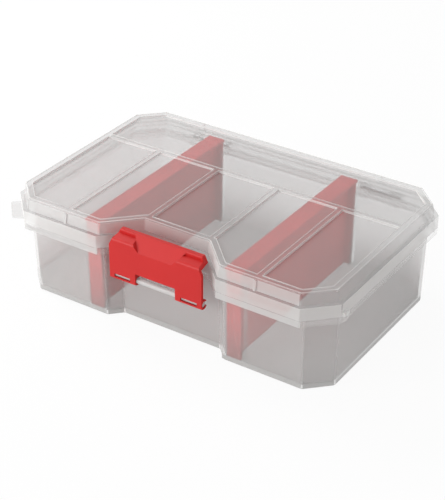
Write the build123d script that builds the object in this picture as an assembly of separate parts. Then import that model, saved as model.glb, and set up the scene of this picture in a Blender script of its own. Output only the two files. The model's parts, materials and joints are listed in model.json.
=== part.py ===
from build123d import *
import math
import os

# Clear storage box with a hinged lid, a front snap latch and two lift-out dividers.
# Millimetres. X runs left to right, the latch faces -Y, Z is up.
# The origin is the middle of the flat underside of the tray.

# Tray shell
tray_half_width = 120.0
tray_half_depth = 74.6
tray_corner = 15.7
tray_wall = 2.0
tray_floor = 2.2
tray_draft = 1.1
tray_edge_radius = 2.4
tray_foot_radius = 1.2
recess_mouth = 45.8
recess_depth = 8.3

# Rim where tray and lid meet
rim_overhang_x = 4.1
rim_overhang_y = 8.0
rim_corner = 18.5
rim_mouth = 46.0
rim_set_back = 14.0
rim_top = 56.0
rim_web = 2.2
rim_lip_height = 4.4
rim_lip = 1.8
rim_edge_radius = 1.6
upstand_height = 6.3
parting_gap = 0.2

# Tongue under the rim at the left end, and the pair of small ears at the right end
tongue_reach = 7.0
tongue_lean = 2.3
tongue_tip = 1.8
tongue_root_step = 1.5
tongue_height = 12.0
ear_reach = 1.9
ear_step = 0.6
ear_length = 5.4
ear_height = 3.0

# Lid
skirt_height = 9.0
lid_wall = 2.0
ledge_width = 3.8
plateau_corner = 16.3
plateau_set_back = 21.0
plateau_rise = 8.0
plateau_draft = 1.1
plateau_edge_radius = 2.2
plateau_top_round = 1.0
panel_plate = 2.8
panel_depth = 1.2
panel_draft_angle = 25.0
panel_border = 5.2
panel_corner_radius = 1.6
rib_width = 4.6
cross_rib_y = 25.0
side_rib_x = 72.5
centre_rib_x = 24.0
wall_rib_width = 1.8
wall_rib_proud = 1.0

# Rear hinges
hinge_x = 70.0
knuckle_radius = 3.3
knuckle_gap = 0.4
lid_knuckle_length = 16.0
tray_knuckle_length = 8.0
hinge_arm_height = 6.0
pin_radius = 1.5
pin_clearance = 0.05
pin_end_inset = 0.6
pin_chamfer = 0.3

# Latch pivot bar on the tray
bar_radius = 2.0
bar_set_back = 1.0
bar_height = 41.2
bar_end_inset = 0.6
lug_gap = 0.9
lug_root_drop = 3.2

# Latch: its bend and ridge are given by how far they rise above the lid's ledge
latch_half_width = 35.5
latch_wall = 2.2
latch_foot = 2.2
latch_bend_rise = 3.0
latch_bend_radius = 2.2
latch_ridge_rise = 7.2
latch_ridge_height = 2.8
latch_ridge_set_back = 7.0
latch_ridge_depth = 3.6
latch_ridge_radius = 1.2
latch_shoulder_drop = 9.4
latch_shoulder_in = 4.3
latch_shoulder_radius = 4.0
nose_half_width = 28.0
nose_depth = 6.7
nose_height = 6.8
nose_fall = 3.4
nose_slant = 2.2
nose_radius = 1.4
nose_gap = 0.4
clip_clearance = 0.1
clip_wall = 1.3
clip_mouth = 3.4
notch_half_width = 15.4
notch_height = 8.2
slot_edge = 3.5
slot_length = 12.4
slot_height = 2.4
thumb_half_width = 16.6
thumb_taper = 3.8
thumb_height = 4.6
thumb_head_in = 0.85
thumb_fill_drop = 0.8

# Dividers
divider_places = {"divider_left": -56.0, "divider_right": 52.5}
divider_web = 1.8
divider_flange = 2.0
divider_end_width = 10.6
divider_top_width = 12.8
divider_top = 68.6
divider_seat_gap = 0.2
divider_end_gap = 0.3
rail_gap = 0.4
rail_width = 1.8
rail_depth = 4.2
rail_below_top = 3.0

# Levels and places that follow from the values above
parting = rim_top + parting_gap
ledge = parting + skirt_height
lid_top = ledge + plateau_rise
tray_top = rim_top + upstand_height
rim_half_width = tray_half_width + rim_overhang_x
rim_half_depth = tray_half_depth + rim_overhang_y
rim_corner_y = -rim_half_depth + rim_corner
plateau_half_width = rim_half_width - ledge_width
plateau_half_depth = rim_half_depth - ledge_width
hinge_y = rim_half_depth + knuckle_radius + knuckle_gap
hinge_z = rim_top + parting_gap / 2
latch_face = -rim_half_depth
latch_inner_face = latch_face + latch_wall
bar_y = latch_face + bar_set_back + bar_radius
bend = ledge + latch_bend_rise
ridge = ledge + latch_ridge_rise
ridge_foot = ridge - latch_ridge_height
ridge_face = latch_face + latch_ridge_set_back
ridge_back = ridge_face + latch_ridge_depth
nose_tip = latch_face + rim_set_back - nose_gap
nose_foot = ridge - nose_height
bar_half_length = latch_half_width - bar_end_inset
lug_half_width = notch_half_width - lug_gap
slot_outer = latch_half_width - slot_edge
clip_bore = bar_radius + clip_clearance
clip_radius = clip_bore + clip_wall
knuckle_bore = pin_radius + pin_clearance
hinge_half_length = lid_knuckle_length / 2 + knuckle_gap + tray_knuckle_length


def outline(half_width, half_depth, corner, mouth, set_back):
    """Anticlockwise plan outline: cut corners, and a set-back in the front with slanted cheeks."""
    w, d, c = half_width, half_depth, corner
    return [
        (-w, -d + c), (-w + c, -d),
        (-mouth, -d), (-mouth + set_back, -d + set_back),
        (mouth - set_back, -d + set_back), (mouth, -d),
        (w - c, -d), (w, -d + c), (w, d - c), (w - c, d), (-w + c, d), (-w, d - c),
    ]


tray_outline = outline(tray_half_width, tray_half_depth, tray_corner, recess_mouth, recess_depth)
rim_outline = outline(rim_half_width, rim_half_depth, rim_corner, rim_mouth, rim_set_back)
plateau_outline = outline(
    plateau_half_width, plateau_half_depth, plateau_corner, rim_mouth, plateau_set_back
)


def grown(points, distance):
    """The outline with every side moved outwards by distance."""
    lines = []
    for (x0, y0), (x1, y1) in zip(points, points[1:] + points[:1]):
        length = math.hypot(x1 - x0, y1 - y0)
        nx, ny = (y1 - y0) / length, (x0 - x1) / length
        lines.append((nx, ny, nx * x0 + ny * y0 + distance))
    corners = []
    for (a, b, c), (d, e, f) in zip(lines[-1:] + lines[:-1], lines):
        det = a * e - b * d
        corners.append(((c * e - b * f) / det, (a * f - c * d) / det))
    return corners


def face_of(points, radius=0.0):
    """A flat face with its corners rounded."""
    face = make_face(Polyline(*points, close=True))
    return fillet(face.vertices(), radius) if radius else face


def rounded(face, radius):
    """The face with those corners rounded whose two sides are long enough."""
    corners = []
    for vertex in face.vertices():
        sides = [edge for edge in face.edges() if vertex in edge.vertices()]
        if min(edge.length for edge in sides) > 2 * radius:
            corners.append(vertex)
    return fillet(corners, radius)


def slab(points, low, high, radius=0.0):
    """An upright prism between two heights."""
    return extrude(Pos(0, 0, low) * face_of(points, radius), high - low)


def tapered(low_points, low, high_points, high, radius=0.0):
    """A solid that runs straight from one outline to another."""
    lower = Pos(0, 0, low) * face_of(low_points, radius)
    upper = Pos(0, 0, high) * face_of(high_points, radius)
    return loft([lower, upper], ruled=True)


def profile(face, x_low, x_high):
    """A side-view face, drawn with Y across and Z up, run along X."""
    return extrude(Plane.YZ.offset(x_low) * face, x_high - x_low)


def drawn(corners):
    """A flat face given by its corners, each with the radius that rounds it."""
    face = face_of([place for place, radius in corners])
    for place, radius in corners:
        if radius:
            corner = face.vertices().sort_by_distance(place)[0]
            face = fillet(corner, radius)
    return face


def block(x_range, y_range, z_range):
    """A box given by its limits along each axis."""
    spans = [high - low for low, high in (x_range, y_range, z_range)]
    middle = [(high + low) / 2 for low, high in (x_range, y_range, z_range)]
    return Pos(*middle) * Box(*spans)


def rod(radius, x_low, x_high, y, z):
    """A round bar along X."""
    return Pos((x_low + x_high) / 2, y, z) * Rot(0, 90, 0) * Cylinder(radius, x_high - x_low)


def wall_offset(z):
    """How far the tray's wall stands out from its rim line at height z."""
    return -tray_draft * (1 - z / tray_top)


def make_shell():
    """The open tray with its leaning walls."""
    outer = tapered(
        grown(tray_outline, wall_offset(0)), 0, tray_outline, tray_top, tray_edge_radius
    )
    outer = fillet(outer.faces().sort_by(Axis.Z)[0].edges(), tray_foot_radius)
    inner_radius = tray_edge_radius - tray_wall
    inner = tapered(
        grown(tray_outline, wall_offset(tray_floor) - tray_wall), tray_floor,
        grown(tray_outline, -tray_wall), tray_top, inner_radius,
    )
    return outer, inner


def make_rim():
    """The flange around the tray, with its lip turned down."""
    web = slab(rim_outline, rim_top - rim_lip_height, rim_top, rim_edge_radius)
    under = slab(grown(rim_outline, -rim_lip), rim_top - rim_lip_height, rim_top - rim_web)
    return web - under


def make_tongue():
    """The upright tongue that stands out under the rim at the left end."""
    tip = -rim_half_width - tongue_reach
    root = -rim_half_width + rim_lip / 2
    front = rim_corner_y - tongue_lean
    foot = [
        (tip, front), (root, rim_corner_y + tongue_root_step),
        (root, front + tongue_tip + tongue_reach), (tip, front + tongue_tip),
    ]
    return slab(foot, rim_top - tongue_height, rim_top)


def make_ear(low, high):
    """A small ear at the right end: the tray and the lid each have one."""
    x_range = (rim_half_width - rim_lip / 2, rim_half_width + ear_reach)
    front = rim_corner_y + ear_step
    return block(x_range, (front, front + ear_length), (low, high))


def make_rails():
    """Upright ribs on the front and back walls that hold the ends of the dividers."""
    inner_face = tray_half_depth - tray_wall
    depth = tray_draft + rail_depth
    rails = []
    for x in divider_places.values():
        for side in (-1, 1):
            near = x + side * (divider_end_width / 2 + rail_gap)
            far = near + side * rail_width
            for wall in (-1, 1):
                y_root = wall * (inner_face + tray_wall / 2)
                y_tip = wall * (inner_face - depth)
                rails.append(block(
                    sorted((near, far)), sorted((y_root, y_tip)),
                    (tray_floor / 2, tray_top - rail_below_top),
                ))
    return rails


def make_pivot_bar():
    """The bar that the latch clips on to, on a wedge that stands out of the recess."""
    root_y = -tray_half_depth + recess_depth + tray_wall / 2
    wedge = face_of([
        (root_y, bar_height - bar_radius - lug_root_drop), (root_y, bar_height + bar_radius),
        (bar_y, bar_height + bar_radius), (bar_y, bar_height - bar_radius),
    ][::-1])
    bar = rod(bar_radius, -bar_half_length, bar_half_length, bar_y, bar_height)
    return bar + profile(wedge, -lug_half_width, lug_half_width)


def make_knuckle(x_low, x_high, side):
    """One hinge knuckle and its arm: side is 1 above the parting line and -1 below it."""
    root = rim_half_depth - rim_lip / 2
    near = hinge_z + side * parting_gap
    arm = face_of([
        (root, near), (root, hinge_z + side * hinge_arm_height),
        (hinge_y, hinge_z + side * knuckle_radius), (hinge_y, near),
    ])
    barrel = rod(knuckle_radius, x_low, x_high, hinge_y, hinge_z)
    return barrel + profile(arm, x_low, x_high)


def tray_knuckle_spans(x):
    """Where the two outer knuckles of a hinge lie along X."""
    inner = lid_knuckle_length / 2 + knuckle_gap
    return [(x - hinge_half_length, x - inner), (x + inner, x + hinge_half_length)]


def make_tray():
    outer, inner = make_shell()
    tray = outer + make_rim()
    tray -= inner
    tray += make_tongue()
    tray += make_ear(rim_top - ear_height, rim_top)
    for rail in make_rails():
        tray += rail
    tray += make_pivot_bar()
    for x in (-hinge_x, hinge_x):
        for span in tray_knuckle_spans(x):
            tray += make_knuckle(*span, -1)
            tray -= rod(knuckle_bore, *span, hinge_y, hinge_z)
    return tray


def make_panels():
    """The sunk panels of the lid's top, parted by ribs."""
    field = face_of(grown(plateau_outline, -panel_border))
    field -= Pos(0, cross_rib_y) * Rectangle(2 * plateau_half_width, rib_width)
    reach = cross_rib_y + plateau_half_depth
    for x in (-side_rib_x, -centre_rib_x, centre_rib_x, side_rib_x):
        field -= Pos(x, cross_rib_y - reach / 2) * Rectangle(rib_width, reach)
    panels = [rounded(face, panel_corner_radius) for face in field.faces()]
    floor = Pos(0, 0, lid_top - panel_depth)
    return [extrude(floor * face, 2 * panel_depth, taper=-panel_draft_angle) for face in panels]


def make_wall_ribs():
    """Ribs that run on down the plateau's front and back walls."""
    ribs = []
    for x in (-side_rib_x, side_rib_x):
        for wall in (-1, 1):
            low = wall * (plateau_half_depth + plateau_draft + wall_rib_proud)
            top = wall * (plateau_half_depth + wall_rib_proud)
            root = wall * (plateau_half_depth - lid_wall / 2)
            crest = lid_top - plateau_top_round
            side = [(root, ledge), (low, ledge), (top, crest), (root, crest)]
            half = wall_rib_width / 2
            ribs.append(profile(face_of(side[::wall]), x - half, x + half))
    return ribs


def make_lid():
    foot = grown(plateau_outline, plateau_draft)
    plateau = tapered(foot, ledge, plateau_outline, lid_top, plateau_edge_radius)
    plateau = fillet(plateau.faces().sort_by(Axis.Z)[-1].edges(), plateau_top_round)
    lid = plateau + slab(rim_outline, parting, ledge, rim_edge_radius)
    for rib in make_wall_ribs():
        lid += rib
    lid += make_ear(parting, parting + ear_height)
    lid -= slab(grown(rim_outline, -lid_wall), parting, ledge - lid_wall)
    lid -= tapered(
        grown(foot, -lid_wall), ledge - lid_wall,
        grown(plateau_outline, -lid_wall), lid_top - panel_plate,
    )
    for panel in make_panels():
        lid -= panel
    for x in (-hinge_x, hinge_x):
        span = (x - lid_knuckle_length / 2, x + lid_knuckle_length / 2)
        lid += make_knuckle(*span, 1)
        lid -= rod(knuckle_bore, *span, hinge_y, hinge_z)
    return lid


def latch_side_face():
    """The latch in side view: a plate that bends back to a ridge, with the nose behind it."""
    foot = bar_height - latch_foot
    return drawn([
        ((latch_face, foot), 0), ((latch_inner_face, foot), 0),
        ((latch_inner_face, nose_foot - nose_slant), 0), ((nose_tip - nose_depth, nose_foot), 0),
        ((nose_tip, nose_foot), nose_radius), ((nose_tip, ridge - nose_fall), nose_radius),
        ((ridge_back, ridge), latch_ridge_radius), ((ridge_face, ridge), latch_ridge_radius),
        ((ridge_face, ridge_foot), 0), ((latch_face, bend), latch_bend_radius),
    ])


def latch_front_face():
    """The latch in front view. The slants that cut its upper corners run on past its ridge."""
    low = bar_height - clip_radius
    shoulder = ridge - latch_shoulder_drop
    high = shoulder + 2 * latch_shoulder_drop
    wide = latch_half_width
    narrow = latch_half_width - 2 * latch_shoulder_in
    return drawn([
        ((-wide, low), 0), ((wide, low), 0), ((wide, shoulder), latch_shoulder_radius),
        ((narrow, high), 0), ((-narrow, high), 0), ((-wide, shoulder), latch_shoulder_radius),
    ])


def nose_end_face():
    """In side view, what lies behind the bent plate and the ridge at the latch's ends."""
    low = nose_foot - 2 * nose_slant
    high = ridge + nose_gap
    back = nose_tip + nose_gap
    return face_of([
        (latch_inner_face, low), (back, low), (back, high), (ridge_back, high),
        (ridge_back, ridge_foot - latch_wall), (latch_inner_face, bend - latch_wall),
    ])


def make_clips():
    """The two open rings that snap over the pivot bar."""
    ring = Circle(clip_radius) - Circle(clip_bore)
    mouth = Pos(clip_radius, 0) * Rectangle(2 * clip_radius, clip_mouth)
    side = Pos(bar_y, bar_height) * (ring - mouth)
    front = Pos(latch_face - clip_radius, bar_height) * Rectangle(2 * clip_radius, 4 * clip_radius)
    return [
        profile(side - front, -latch_half_width, -notch_half_width),
        profile(side - front, notch_half_width, latch_half_width),
    ]


def thumb_prism(side):
    """The given side face, run across the latch between the slants of the thumb ramp."""
    low = bend - thumb_height
    lower = thumb_half_width - thumb_taper
    upper = thumb_half_width + thumb_taper
    shape = face_of([(-lower, low), (lower, low), (upper, ridge), (-upper, ridge)])
    return profile(side, -upper, upper) & extrude(Plane.XZ * shape, 2 * rim_half_depth, both=True)


def add_thumb_ramp(latch):
    """The slanted flat at the middle of the latch, from its ridge to below its bend."""
    low = bend - thumb_height
    head_y = ridge_face + thumb_head_in

    def ramp_y(z):
        return latch_face + (head_y - latch_face) * (z - low) / (ridge - low)

    top = ridge - thumb_fill_drop
    front = latch_face - latch_wall
    fill = face_of([(ramp_y(bend), bend), (ramp_y(top), top), (ridge_back, top), (ridge_back, bend)])
    cut = face_of([(front, low), (latch_face, low), (head_y, ridge), (front, ridge)])
    return latch + thumb_prism(fill) - thumb_prism(cut)


def make_latch():
    reach = latch_half_width + latch_wall
    latch = profile(latch_side_face(), -reach, reach)
    latch &= extrude(Plane.XZ * latch_front_face(), 2 * rim_half_depth, both=True)
    latch -= slab(grown(rim_outline, nose_gap), parting, lid_top)
    for x_range in ((-reach, -nose_half_width), (nose_half_width, reach)):
        latch -= profile(nose_end_face(), *x_range)
    for clip in make_clips():
        latch += clip
    latch -= rod(clip_bore, -latch_half_width, latch_half_width, bar_y, bar_height)
    y_range = (latch_face - latch_wall, bar_y + clip_radius)
    foot = bar_height - clip_radius
    latch -= block((-notch_half_width, notch_half_width), y_range, (foot, foot + notch_height + clip_wall))
    slot_z = (bar_height - slot_height / 2, bar_height + slot_height / 2)
    for side in (-1, 1):
        x_range = sorted((side * slot_outer, side * (slot_outer - slot_length)))
        latch -= block(x_range, (latch_face - latch_wall, bar_y), slot_z)
    return add_thumb_ramp(latch)


def make_divider(x):
    """An upright plate with a broad band along its top and both ends."""
    low = tray_floor + divider_seat_gap
    inner = tray_half_depth - tray_wall - divider_end_gap
    foot = inner + wall_offset(low)
    head = inner
    web = face_of([(-foot, low), (foot, low), (head, tray_top), (head, divider_top),
                   (-head, divider_top), (-head, tray_top)])
    top = block(
        (x - divider_top_width / 2, x + divider_top_width / 2), (-head, head),
        (divider_top - divider_flange, divider_top),
    )
    divider = profile(web, x - divider_web / 2, x + divider_web / 2) + top
    end = face_of([
        (foot - divider_flange, low), (foot, low), (head, tray_top), (head, divider_top),
        (head - divider_flange, divider_top), (head - divider_flange, tray_top),
    ])
    band = profile(end, x - divider_end_width / 2, x + divider_end_width / 2)
    return divider + band + mirror(band, Plane.XZ)


def make_hinge_pin(x):
    half = hinge_half_length - pin_end_inset
    pin = rod(pin_radius, x - half, x + half, hinge_y, hinge_z)
    return chamfer(pin.edges().filter_by(GeomType.CIRCLE), pin_chamfer)


os.makedirs("parts", exist_ok=True)
nodes = {
    "tray": make_tray(),
    "lid": make_lid(),
    "latch": make_latch(),
    "hinge_pin_left": make_hinge_pin(-hinge_x),
    "hinge_pin_right": make_hinge_pin(hinge_x),
}
for name, x in divider_places.items():
    nodes[name] = make_divider(x)
for name, shape in nodes.items():
    export_step(shape, f"parts/{name}.step")
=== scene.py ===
import json
import math

import bmesh
import bpy
from mathutils import Matrix, Vector

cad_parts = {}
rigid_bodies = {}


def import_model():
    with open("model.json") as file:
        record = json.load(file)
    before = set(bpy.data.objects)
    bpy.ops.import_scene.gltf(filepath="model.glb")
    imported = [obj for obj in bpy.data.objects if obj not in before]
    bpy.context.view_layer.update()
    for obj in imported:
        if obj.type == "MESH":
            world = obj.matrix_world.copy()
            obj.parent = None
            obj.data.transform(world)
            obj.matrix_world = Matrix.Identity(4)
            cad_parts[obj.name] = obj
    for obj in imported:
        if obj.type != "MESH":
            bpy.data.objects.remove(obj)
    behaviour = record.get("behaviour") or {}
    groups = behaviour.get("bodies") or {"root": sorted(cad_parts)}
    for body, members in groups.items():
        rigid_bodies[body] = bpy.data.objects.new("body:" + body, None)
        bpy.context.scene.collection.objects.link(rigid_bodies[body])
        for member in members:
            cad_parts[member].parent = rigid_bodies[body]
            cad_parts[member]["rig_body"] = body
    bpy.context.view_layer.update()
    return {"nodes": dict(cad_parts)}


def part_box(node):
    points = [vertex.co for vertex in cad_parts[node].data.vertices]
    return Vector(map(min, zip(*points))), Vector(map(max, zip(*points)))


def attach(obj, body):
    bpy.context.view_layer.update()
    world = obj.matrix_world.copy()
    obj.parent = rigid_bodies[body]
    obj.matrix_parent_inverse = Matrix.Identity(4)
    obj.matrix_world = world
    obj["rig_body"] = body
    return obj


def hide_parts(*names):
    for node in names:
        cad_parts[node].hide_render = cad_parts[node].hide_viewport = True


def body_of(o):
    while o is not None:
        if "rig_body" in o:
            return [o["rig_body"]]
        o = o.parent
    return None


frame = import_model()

MM = 0.001

# The photograph's camera: its size in pixels, and where it stands and looks
PHOTO_HEIGHT = 500
FOCAL_PIXELS = 1454.56
SENSOR = 36.0
AZIMUTH = math.radians(33.3)
ELEVATION = math.radians(31.0)
ROLL = math.radians(0.31)
DISTANCE = 972.64 * MM
LOOK_AT = Vector((2.93, -9.49, 35.0)) * MM

# Rounding of the moulded edges that the solids leave sharp
SHELL_EDGE = 0.35 * MM
LATCH_EDGE = 0.4 * MM
DIVIDER_EDGE = 0.3 * MM
PIN_EDGE = 0.15 * MM
EDGE_ANGLE = math.radians(28)
FLAT_ANGLE = math.radians(0.4)
WELD = 0.002 * MM

# Thin pale tubes that run along the outlines of the lid: painted highlights on its edges
HIGHLIGHT_TUBE_RADIUS = 0.42 * MM
HIGHLIGHT_TUBE_SIDES = 8
CREASE = math.radians(3)
LEVEL_TOLERANCE = 0.05 * MM

# Measures from the CAD: the lid's skirt, the tray's turned-down rim, the latch's pivot bar, the
# lid's front notch, the small ribs on its walls and the slanted sides of its panels
SKIRT_HEIGHT = 9.0 * MM
RIM_TOP = 56.0 * MM
RIM_FOOT = 51.6 * MM
BAR_REACH = 6.0 * MM
NOTCH_MOUTH = 47.0 * MM
NOTCH_BACK = -50.0 * MM
WALL_RIB_X = 72.5 * MM
WALL_RIB_HALF = 1.3 * MM
PANEL_SIDE_DEPTH = 1.6 * MM
PANEL_SIDE_SLANT = (0.33, 0.52)

# How a face is told by its normal: upright, leaning a little or flat. Neighbouring walls stand
# 45 degrees apart, and the margin keeps the walls themselves out of the rounding between them.
UPRIGHT = 0.5
LEAN = 0.2
FLAT = 0.98
WALL_TURN = 45.0
ROUND_MARGIN = 9.0

# The share of a clear skin's haze that shows where it is seen from inside the wall, and how
# much the plastic is clouded
BEHIND_SHARE = 0.25
CLOUD_SHARE = 0.15

# The heights between which a clear skin's colour and haze change: the whole wall on most, and
# only the edge of the floor on the tray's outside. Where the foot colour is darker, this paints
# shade towards the bottom: on the tray's outside, a painted contact shadow along its foot
WALL_SPAN = (0.0, 42.0 * MM)
FLOOR_EDGE = (3.8 * MM, 5.0 * MM)

# The gloss and roughness of the plastics, and how many clear layers light may pass
PLASTIC_IOR = 1.49
CLEAR_GLOSS = 0.35
RED_GLOSS = 0.3
CLEAR_ROUGHNESS = 0.35
CLEAR_LAYERS = 48

# The studio: its floor, the light of its walls on the object, and the lamps, each with its
# place, size and power
FLOOR_HALF = 6.0
FLOOR_GAP = 0.3 * MM
FLOOR_GREY = (0.85, 0.85, 0.85, 1.0)
FLOOR_ROUGHNESS = 0.9
FLOOR_WHITE_SHARE = 0.93
WHITE = (1.0, 1.0, 1.0, 1.0)
STUDIO_LIGHT = 0.45
LAMP_AIM = (0, 0, 0.03)
LAMPS = {
    "key_lamp": ((-1.15, 0.2, 0.8), 0.8, 13.0),
    "front_lamp": ((-0.8, -1.1, 0.45), 1.0, 13.5),
    "side_lamp": ((1.4, -0.2, 0.4), 1.0, 4.0),
}


# Shader helpers

def new_group(name, inputs, outputs):
    """An empty shader node group with the named sockets."""
    group = bpy.data.node_groups.new(name, "ShaderNodeTree")
    for label, kind, value in inputs:
        socket = group.interface.new_socket(label, in_out="INPUT", socket_type=kind)
        if value is not None:
            socket.default_value = value
    for label, kind in outputs:
        group.interface.new_socket(label, in_out="OUTPUT", socket_type=kind)
    return group, group.nodes.new("NodeGroupInput"), group.nodes.new("NodeGroupOutput")


def add(tree, kind, **values):
    """A node with its properties set, and its sockets by name."""
    node = tree.nodes.new(kind)
    for key, value in values.items():
        if hasattr(node, key):
            setattr(node, key, value)
        else:
            node.inputs[key.replace("_", " ")].default_value = value
    return node


def link(tree, source, target):
    tree.links.new(source, target)


def moulded_skin_group():
    """The faint unevenness of a moulded surface: its slow waves and its fine grain."""
    group, start, end = new_group(
        "moulded_skin",
        [("Wave Size", "NodeSocketFloat", 60.0), ("Grain Size", "NodeSocketFloat", 900.0),
         ("Wave Depth", "NodeSocketFloat", 0.1), ("Grain Depth", "NodeSocketFloat", 0.05),
         ("Roughness", "NodeSocketFloat", 0.3), ("Roughness Spread", "NodeSocketFloat", 0.08)],
        [("Normal", "NodeSocketVector"), ("Roughness", "NodeSocketFloat"), ("Cloud", "NodeSocketFloat")],
    )
    place = add(group, "ShaderNodeTexCoord")
    waves = add(group, "ShaderNodeTexNoise", Detail=3.0)
    grain = add(group, "ShaderNodeTexNoise", Detail=4.0)
    for noise, size in ((waves, "Wave Size"), (grain, "Grain Size")):
        link(group, place.outputs["Object"], noise.inputs["Vector"])
        link(group, start.outputs[size], noise.inputs["Scale"])
    broad = add(group, "ShaderNodeBump", Distance=0.001)
    fine = add(group, "ShaderNodeBump", Distance=0.0002)
    link(group, waves.outputs["Fac"], broad.inputs["Height"])
    link(group, start.outputs["Wave Depth"], broad.inputs["Strength"])
    link(group, grain.outputs["Fac"], fine.inputs["Height"])
    link(group, start.outputs["Grain Depth"], fine.inputs["Strength"])
    link(group, broad.outputs["Normal"], fine.inputs["Normal"])
    link(group, fine.outputs["Normal"], end.inputs["Normal"])
    shift = add(group, "ShaderNodeMath", operation="SUBTRACT")
    link(group, waves.outputs["Fac"], shift.inputs[0])
    shift.inputs[1].default_value = 0.5
    rough = add(group, "ShaderNodeMath", operation="MULTIPLY_ADD")
    link(group, shift.outputs[0], rough.inputs[0])
    link(group, start.outputs["Roughness Spread"], rough.inputs[1])
    link(group, start.outputs["Roughness"], rough.inputs[2])
    link(group, rough.outputs[0], end.inputs["Roughness"])
    link(group, waves.outputs["Fac"], end.inputs["Cloud"])
    return group


def new_material(name):
    """A material with its node tree and its Principled shader."""
    material = bpy.data.materials.new(name)
    material.use_nodes = True
    tree = material.node_tree
    return material, tree, tree.nodes["Principled BSDF"]


def add_skin(tree, shader, group, **values):
    """The moulded surface's group, with its normal and its roughness on the shader."""
    skin = tree.nodes.new("ShaderNodeGroup")
    skin.node_tree = group
    for key, value in values.items():
        skin.inputs[key.replace("_", " ")].default_value = value
    link(tree, skin.outputs["Normal"], shader.inputs["Normal"])
    link(tree, skin.outputs["Roughness"], shader.inputs["Roughness"])
    return skin


def mix_colours(tree, factor, first, second):
    """A colour between two, by a factor that changes over the surface."""
    mix = add(tree, "ShaderNodeMix", data_type="RGBA")
    link(tree, factor, mix.inputs["Factor"])
    mix.inputs[6].default_value = (*first, 1.0)
    mix.inputs[7].default_value = (*second, 1.0)
    return mix.outputs[2]


def height_group():
    """How far up the box a point lies, from 0 at its foot to 1 at its head."""
    group, start, end = new_group(
        "height", [("Foot", "NodeSocketFloat", 0.0), ("Head", "NodeSocketFloat", 0.05)],
        [("Height", "NodeSocketFloat")],
    )
    place = add(group, "ShaderNodeTexCoord")
    split = add(group, "ShaderNodeSeparateXYZ")
    ramp = add(group, "ShaderNodeMapRange", interpolation_type="SMOOTHSTEP")
    link(group, place.outputs["Object"], split.inputs["Vector"])
    link(group, split.outputs["Z"], ramp.inputs["Value"])
    link(group, start.outputs["Foot"], ramp.inputs["From Min"])
    link(group, start.outputs["Head"], ramp.inputs["From Max"])
    link(group, ramp.outputs["Result"], end.inputs["Height"])
    return group


def frosted_plastic(
    groups, name, foot, head, alpha, foot_alpha=None, from_behind=BEHIND_SHARE,
    roughness=CLEAR_ROUGHNESS, span=WALL_SPAN,
):
    """Clear polypropylene with a milky haze, which lets light straight through its thin wall.

    Its colour and its haze change from the foot of the wall to its head, and a skin that is
    seen from inside the wall shows only a share of its haze. A foot colour darker than the head
    colour paints shade low down on the wall.
    """
    material, tree, shader = new_material(name)
    skin = add_skin(
        tree, shader, groups["skin"], Wave_Size=25.0, Wave_Depth=0.01, Grain_Size=700.0,
        Grain_Depth=0.001, Roughness=roughness, Roughness_Spread=0.08,
    )
    level = tree.nodes.new("ShaderNodeGroup")
    level.node_tree = groups["height"]
    level.inputs["Foot"].default_value, level.inputs["Head"].default_value = span
    cloudy = add(tree, "ShaderNodeMath", operation="MULTIPLY_ADD")
    link(tree, skin.outputs["Cloud"], cloudy.inputs[0])
    cloudy.inputs[1].default_value = CLOUD_SHARE
    link(tree, level.outputs["Height"], cloudy.inputs[2])
    colour = mix_colours(tree, cloudy.outputs[0], foot, head)
    link(tree, colour, shader.inputs["Base Color"])
    shader.inputs["IOR"].default_value = PLASTIC_IOR
    shader.inputs["Specular IOR Level"].default_value = CLEAR_GLOSS
    haze = add(tree, "ShaderNodeMapRange")
    link(tree, level.outputs["Height"], haze.inputs["Value"])
    haze.inputs["To Min"].default_value = alpha if foot_alpha is None else foot_alpha
    haze.inputs["To Max"].default_value = alpha
    side = add(tree, "ShaderNodeNewGeometry")
    share = add(tree, "ShaderNodeMapRange")
    link(tree, side.outputs["Backfacing"], share.inputs["Value"])
    share.inputs["To Min"].default_value = 1.0
    share.inputs["To Max"].default_value = from_behind
    total = add(tree, "ShaderNodeMath", operation="MULTIPLY")
    link(tree, haze.outputs["Result"], total.inputs[0])
    link(tree, share.outputs["Result"], total.inputs[1])
    link(tree, total.outputs[0], shader.inputs["Alpha"])
    return material


def red_plastic(skin_group, name, low, high, roughness):
    """Opaque red moulding."""
    material, tree, shader = new_material(name)
    skin = add_skin(
        tree, shader, skin_group, Wave_Size=40.0, Wave_Depth=0.05, Grain_Size=2200.0,
        Grain_Depth=0.12, Roughness=roughness, Roughness_Spread=0.1,
    )
    colour = mix_colours(tree, skin.outputs["Cloud"], low, high)
    link(tree, colour, shader.inputs["Base Color"])
    shader.inputs["IOR"].default_value = PLASTIC_IOR
    shader.inputs["Specular IOR Level"].default_value = RED_GLOSS
    return material


def pin_steel(skin_group):
    """The satin steel of the hinge pins."""
    material, tree, shader = new_material("pin_steel")
    skin = add_skin(
        tree, shader, skin_group, Wave_Size=300.0, Wave_Depth=0.1, Grain_Size=3000.0,
        Grain_Depth=0.1, Roughness=0.45, Roughness_Spread=0.2,
    )
    colour = mix_colours(tree, skin.outputs["Cloud"], (0.84, 0.84, 0.85), (0.92, 0.92, 0.93))
    link(tree, colour, shader.inputs["Base Color"])
    shader.inputs["Metallic"].default_value = 1.0
    return material


# Pieces

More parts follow.
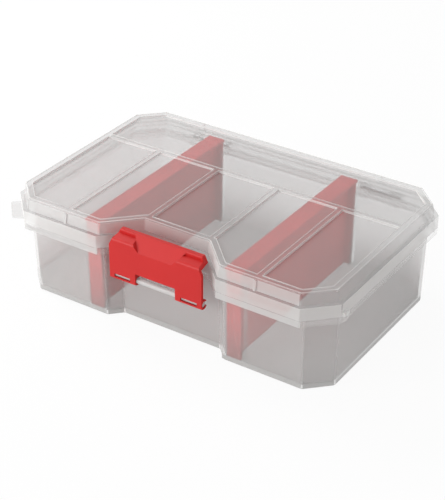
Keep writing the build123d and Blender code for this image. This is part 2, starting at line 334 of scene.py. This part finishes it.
def softened(node, name, radius, material, segments=2):
    """A copy of a CAD node with its faces joined and its sharp edges rounded."""
    source = frame["nodes"][node]
    shape = bmesh.new()
    shape.from_mesh(source.data)
    bmesh.ops.remove_doubles(shape, verts=shape.verts, dist=WELD)
    bmesh.ops.dissolve_limit(
        shape, angle_limit=FLAT_ANGLE, verts=shape.verts, edges=shape.edges, delimit=set()
    )
    mesh = bpy.data.meshes.new(name)
    shape.to_mesh(mesh)
    shape.free()
    piece = bpy.data.objects.new(name, mesh)
    bpy.context.scene.collection.objects.link(piece)
    for face in mesh.polygons:
        face.use_smooth = True
    bevel = piece.modifiers.new("edges", "BEVEL")
    bevel.width = radius
    bevel.segments = segments
    bevel.limit_method = "ANGLE"
    bevel.angle_limit = EDGE_ANGLE
    bevel.use_clamp_overlap = True
    even = piece.modifiers.new("even_normals", "WEIGHTED_NORMAL")
    even.keep_sharp = True
    even.weight = 100
    finish_mesh(piece)
    mesh = piece.data
    mesh.materials.clear()
    mesh.materials.append(material)
    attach(piece, body_of(source)[0])
    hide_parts(node)
    return piece


def on_upright_round(place, normal):
    """Whether a face lies on the rounding of an upright corner, between two flat walls."""
    turn = math.degrees(math.atan2(normal.y, normal.x)) % WALL_TURN
    return abs(normal.z) < LEAN and ROUND_MARGIN < turn < WALL_TURN - ROUND_MARGIN


def on_wall_rib(place, normal):
    """Whether a face is on one of the small upright ribs of the lid's front and back walls."""
    across = abs(abs(place.x) - WALL_RIB_X) < WALL_RIB_HALF and abs(place.y) > -NOTCH_BACK
    return across and ledge < place.z < lid_top - PANEL_SIDE_DEPTH


def in_notch(place, normal):
    """Whether a face is on the wall of the lid's front notch."""
    return abs(place.x) < NOTCH_MOUTH and place.y < NOTCH_BACK and normal.z < UPRIGHT


def on_skirt(place, normal):
    """Whether a face is on the lid's skirt or its ledge."""
    return place.z < ledge + LEVEL_TOLERANCE


def on_panel_side(place, normal):
    """Whether a face is on the slanted side of one of the lid's panels."""
    low, high = PANEL_SIDE_SLANT
    return lid_top - place.z < PANEL_SIDE_DEPTH and low < normal.z < high


def edge_highlight_tube_group():
    """Geometry nodes: a round tube along every line of a wire mesh, for painted edge highlights."""
    group = bpy.data.node_groups.new("edge_highlight_tubes", "GeometryNodeTree")
    group.interface.new_socket("Lines", in_out="INPUT", socket_type="NodeSocketGeometry")
    group.interface.new_socket("Tube Radius", in_out="INPUT", socket_type="NodeSocketFloat")
    group.interface.new_socket("Sides", in_out="INPUT", socket_type="NodeSocketInt")
    group.interface.new_socket("Material", in_out="INPUT", socket_type="NodeSocketMaterial")
    group.interface.new_socket("Tube", in_out="OUTPUT", socket_type="NodeSocketGeometry")
    start = group.nodes.new("NodeGroupInput")
    end = group.nodes.new("NodeGroupOutput")
    path = group.nodes.new("GeometryNodeMeshToCurve")
    ring = group.nodes.new("GeometryNodeCurvePrimitiveCircle")
    sweep = group.nodes.new("GeometryNodeCurveToMesh")
    sweep.inputs["Fill Caps"].default_value = True
    realize = group.nodes.new("GeometryNodeRealizeInstances")
    coat = group.nodes.new("GeometryNodeSetMaterial")
    link(group, start.outputs["Lines"], path.inputs["Mesh"])
    link(group, start.outputs["Sides"], ring.inputs["Resolution"])
    link(group, start.outputs["Tube Radius"], ring.inputs["Radius"])
    link(group, path.outputs["Curve"], sweep.inputs["Curve"])
    link(group, ring.outputs["Curve"], sweep.inputs["Profile Curve"])
    link(group, sweep.outputs["Mesh"], realize.inputs["Geometry"])
    link(group, realize.outputs["Geometry"], coat.inputs["Geometry"])
    link(group, start.outputs["Material"], coat.inputs["Material"])
    link(group, coat.outputs["Geometry"], end.inputs["Tube"])
    return group


def level_lines(node, levels):
    """The creased edges of a CAD node that lie at one of the given heights, as a wire mesh."""
    low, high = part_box(node)
    shape = bmesh.new()
    shape.from_mesh(frame["nodes"][node].data)
    bmesh.ops.remove_doubles(shape, verts=shape.verts, dist=WELD)

    def is_line(edge):
        heights = [vertex.co.z for vertex in edge.verts]
        level = any(max(abs(z - height) for z in heights) < LEVEL_TOLERANCE for height in levels)
        inside = all(vertex.co.y < -low[1] + LEVEL_TOLERANCE for vertex in edge.verts)
        return level and inside and edge.calc_face_angle(0.0) > CREASE

    plain = [edge for edge in shape.edges if not is_line(edge)]
    bmesh.ops.delete(shape, geom=shape.faces[:], context="FACES_ONLY")
    bmesh.ops.delete(shape, geom=plain, context="EDGES")
    loose = [vertex for vertex in shape.verts if not vertex.link_edges]
    bmesh.ops.delete(shape, geom=loose, context="VERTS")
    mesh = bpy.data.meshes.new(node + "_lines")
    shape.to_mesh(mesh)
    shape.free()
    return mesh


def edge_highlight_tubes(node, name, group, material, levels):
    """Pale tubes along a CAD node's outlines at the given heights: painted edge highlights."""
    piece = bpy.data.objects.new(name, level_lines(node, levels))
    bpy.context.scene.collection.objects.link(piece)
    nodes = piece.modifiers.new("highlight_tubes", "NODES")
    nodes.node_group = group
    values = {"Tube Radius": HIGHLIGHT_TUBE_RADIUS, "Sides": HIGHLIGHT_TUBE_SIDES, "Material": material}
    for item in group.interface.items_tree:
        if item.in_out == "INPUT" and item.name in values:
            nodes[item.identifier] = values[item.name]
    finish_mesh(piece)
    for face in piece.data.polygons:
        face.use_smooth = True
    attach(piece, body_of(frame["nodes"][node])[0])
    return piece


def coat_faces(piece, material, chosen):
    """Gives another material to the faces that are chosen by their middle and their normal."""
    piece.data.materials.append(material)
    index = len(piece.data.materials) - 1
    for face in piece.data.polygons:
        if chosen(face.center, face.normal):
            face.material_index = index


def faces_inwards(node, opens_up):
    """A test for the faces on the hollow side of a shell, for coat_faces."""
    low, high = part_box(node)
    middle = (Vector(low) + Vector(high)) / 2

    def test(place, normal):
        across = Vector((normal.x, normal.y))
        if across.length > UPRIGHT:
            return across.dot((place - middle).xy) < 0
        return (normal.z > 0) == opens_up
    return test


def finish_mesh(piece):
    """Turns a piece with modifiers into its plain mesh."""
    graph = bpy.context.evaluated_depsgraph_get()
    result = bpy.data.meshes.new_from_object(piece.evaluated_get(graph))
    old = piece.data
    piece.modifiers.clear()
    piece.data = result
    bpy.data.meshes.remove(old)


# Stage

def background_rays(tree):
    """1 for the rays that should find a white background: seen, mirrored or let through."""
    rays = add(tree, "ShaderNodeLightPath")
    first = add(tree, "ShaderNodeMath", operation="MAXIMUM")
    second = add(tree, "ShaderNodeMath", operation="MAXIMUM")
    link(tree, rays.outputs["Is Camera Ray"], first.inputs[0])
    link(tree, rays.outputs["Is Glossy Ray"], first.inputs[1])
    link(tree, first.outputs[0], second.inputs[0])
    link(tree, rays.outputs["Is Transmission Ray"], second.inputs[1])
    return second.outputs[0]


def make_floor():
    material, tree, shader = new_material("studio_floor")
    shader.inputs["Base Color"].default_value = FLOOR_GREY
    shader.inputs["Roughness"].default_value = FLOOR_ROUGHNESS
    glow = add(tree, "ShaderNodeEmission", Strength=1.0)
    blend = add(tree, "ShaderNodeMixShader")
    out = tree.nodes["Material Output"]
    share = add(tree, "ShaderNodeMath", operation="MULTIPLY")
    link(tree, background_rays(tree), share.inputs[0])
    share.inputs[1].default_value = FLOOR_WHITE_SHARE
    link(tree, share.outputs[0], blend.inputs["Fac"])
    link(tree, shader.outputs["BSDF"], blend.inputs[1])
    link(tree, glow.outputs["Emission"], blend.inputs[2])
    link(tree, blend.outputs[0], out.inputs["Surface"])
    mesh = bpy.data.meshes.new("studio_floor")
    corners = [
        (x * FLOOR_HALF, y * FLOOR_HALF, -FLOOR_GAP) for x, y in ((-1, -1), (1, -1), (1, 1), (-1, 1))
    ]
    mesh.from_pydata(corners, [], [(0, 1, 2, 3)])
    mesh.materials.append(material)
    floor = bpy.data.objects.new("studio_floor", mesh)
    bpy.context.scene.collection.objects.link(floor)


def make_world():
    world = bpy.data.worlds.new("studio")
    bpy.context.scene.world = world
    world.use_nodes = True
    tree = world.node_tree
    back = tree.nodes["Background"]
    back.inputs["Color"].default_value = WHITE
    back.inputs["Strength"].default_value = STUDIO_LIGHT
    seen_back = add(tree, "ShaderNodeBackground", Strength=1.0)
    seen_back.inputs["Color"].default_value = WHITE
    mix = add(tree, "ShaderNodeMixShader")
    link(tree, background_rays(tree), mix.inputs["Fac"])
    link(tree, back.outputs[0], mix.inputs[1])
    link(tree, seen_back.outputs[0], mix.inputs[2])
    link(tree, mix.outputs[0], tree.nodes["World Output"].inputs["Surface"])


def make_lamp(name, place, size, power):
    data = bpy.data.lights.new(name, "AREA")
    data.shape = "DISK"
    data.size = size
    data.energy = power
    lamp = bpy.data.objects.new(name, data)
    bpy.context.scene.collection.objects.link(lamp)
    lamp.location = place
    aim = Vector(LAMP_AIM) - Vector(place)
    lamp.rotation_euler = aim.to_track_quat("-Z", "Y").to_euler()


def make_camera():
    """The camera at the photograph's place and angle."""
    forward = Vector((
        -math.sin(AZIMUTH) * math.cos(ELEVATION),
        math.cos(AZIMUTH) * math.cos(ELEVATION),
        -math.sin(ELEVATION),
    ))
    level = Vector((math.cos(AZIMUTH), math.sin(AZIMUTH), 0.0))
    upright = level.cross(forward)
    right = level * math.cos(ROLL) + upright * math.sin(ROLL)
    up = upright * math.cos(ROLL) - level * math.sin(ROLL)
    data = bpy.data.cameras.new("photo_camera")
    data.sensor_fit = "AUTO"
    data.sensor_width = SENSOR
    data.lens = FOCAL_PIXELS * SENSOR / PHOTO_HEIGHT
    camera = bpy.data.objects.new("photo_camera", data)
    bpy.context.scene.collection.objects.link(camera)
    turn = Matrix((right, up, -forward)).transposed().to_4x4()
    camera.matrix_world = Matrix.Translation(LOOK_AT - forward * DISTANCE) @ turn
    bpy.context.scene.camera = camera


scene = bpy.context.scene
scene.view_settings.view_transform = "Standard"
scene.cycles.transparent_max_bounces = CLEAR_LAYERS
skin_group = moulded_skin_group()
groups = {"skin": skin_group, "height": height_group()}
lid_clear = frosted_plastic(groups, "lid_plastic", (0.475, 0.47, 0.46), (0.50, 0.495, 0.485), 0.41)
# Darker and denser along the tray's foot: a painted contact shadow.
tray_clear = frosted_plastic(
    groups, "tray_plastic", (0.40, 0.393, 0.383), (0.53, 0.522, 0.512), 0.42, 0.82, span=FLOOR_EDGE
)
floor_clear = frosted_plastic(
    groups, "floor_plastic", (0.40, 0.39, 0.38), (0.44, 0.43, 0.42), 0.25, None, from_behind=1.0
)
# Darker and denser towards the bottom of the box's inside: painted shade.
inner_clear = frosted_plastic(
    groups, "inner_plastic", (0.42, 0.415, 0.405), (0.54, 0.535, 0.525), 0.26, 0.66
)
rim_clear = frosted_plastic(groups, "rim_plastic", (0.76, 0.75, 0.735), (0.84, 0.83, 0.815), 0.2)
milky = frosted_plastic(groups, "skirt_plastic", (0.74, 0.73, 0.715), (0.80, 0.79, 0.775), 0.48)
crisp = frosted_plastic(groups, "panel_edge_plastic", (0.58, 0.57, 0.56), (0.62, 0.61, 0.60), 0.7)
# A paler skin for the roundings of the tray's upright corners: a painted highlight on them.
corner_highlight = frosted_plastic(groups, "corner_highlight_plastic", (0.56, 0.552, 0.542), (0.63, 0.62, 0.61), 0.34)
bar_white = frosted_plastic(
    groups, "bar_plastic", (0.52, 0.51, 0.50), (0.60, 0.59, 0.58), 0.75, None, from_behind=1.0,
    roughness=0.18,
)
# The pale skin of the edge tubes: a painted highlight along the lid's outlines.
painted_edge_highlight = frosted_plastic(groups, "edge_highlight_plastic", (0.80, 0.79, 0.77), (0.86, 0.85, 0.83), 0.3)
latch_red = red_plastic(skin_group, "latch_red", (0.50, 0.011, 0.010), (0.555, 0.014, 0.013), 0.42)
divider_red = red_plastic(skin_group, "divider_red", (0.58, 0.022, 0.025), (0.84, 0.056, 0.06), 0.45)
steel = pin_steel(skin_group)
lid_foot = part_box("lid")[0][2]
lid_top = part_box("lid")[1][2]
ledge = lid_foot + SKIRT_HEIGHT
bar_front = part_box("latch")[0][1]
tray = softened("tray", "tray_shell", SHELL_EDGE, tray_clear)
# The corner roundings take the paler skin: a painted highlight.
coat_faces(tray, corner_highlight, on_upright_round)
coat_faces(tray, inner_clear, faces_inwards("tray", True))
coat_faces(tray, rim_clear, lambda place, normal: RIM_FOOT < place.z < RIM_TOP)
coat_faces(tray, floor_clear, lambda place, normal: normal.z < -FLAT and place.z < RIM_FOOT / 2)
coat_faces(tray, bar_white, lambda place, normal: place.y < bar_front + BAR_REACH)
lid = softened("lid", "lid_shell", SHELL_EDGE, lid_clear)
coat_faces(lid, milky, lambda *face: on_skirt(*face) or in_notch(*face))
coat_faces(lid, inner_clear, faces_inwards("lid", False))
# The wall ribs take this paler, denser skin so that they show as light lines: painted light.
coat_faces(lid, crisp, on_wall_rib)
coat_faces(lid, crisp, on_panel_side)
softened("latch", "front_latch", LATCH_EDGE, latch_red)
softened("divider_left", "left_divider", DIVIDER_EDGE, divider_red)
softened("divider_right", "right_divider", DIVIDER_EDGE, divider_red)
softened("hinge_pin_left", "left_hinge_pin", PIN_EDGE, steel)
softened("hinge_pin_right", "right_hinge_pin", PIN_EDGE, steel)
# Pale tubes along the lid's ledge and top outlines: painted highlights on its edges.
edge_highlight_tubes("lid", "lid_edge_highlights", edge_highlight_tube_group(), painted_edge_highlight, (ledge, lid_top))
make_camera()
for name, values in LAMPS.items():
    make_lamp(name, *values)
make_world()
make_floor()
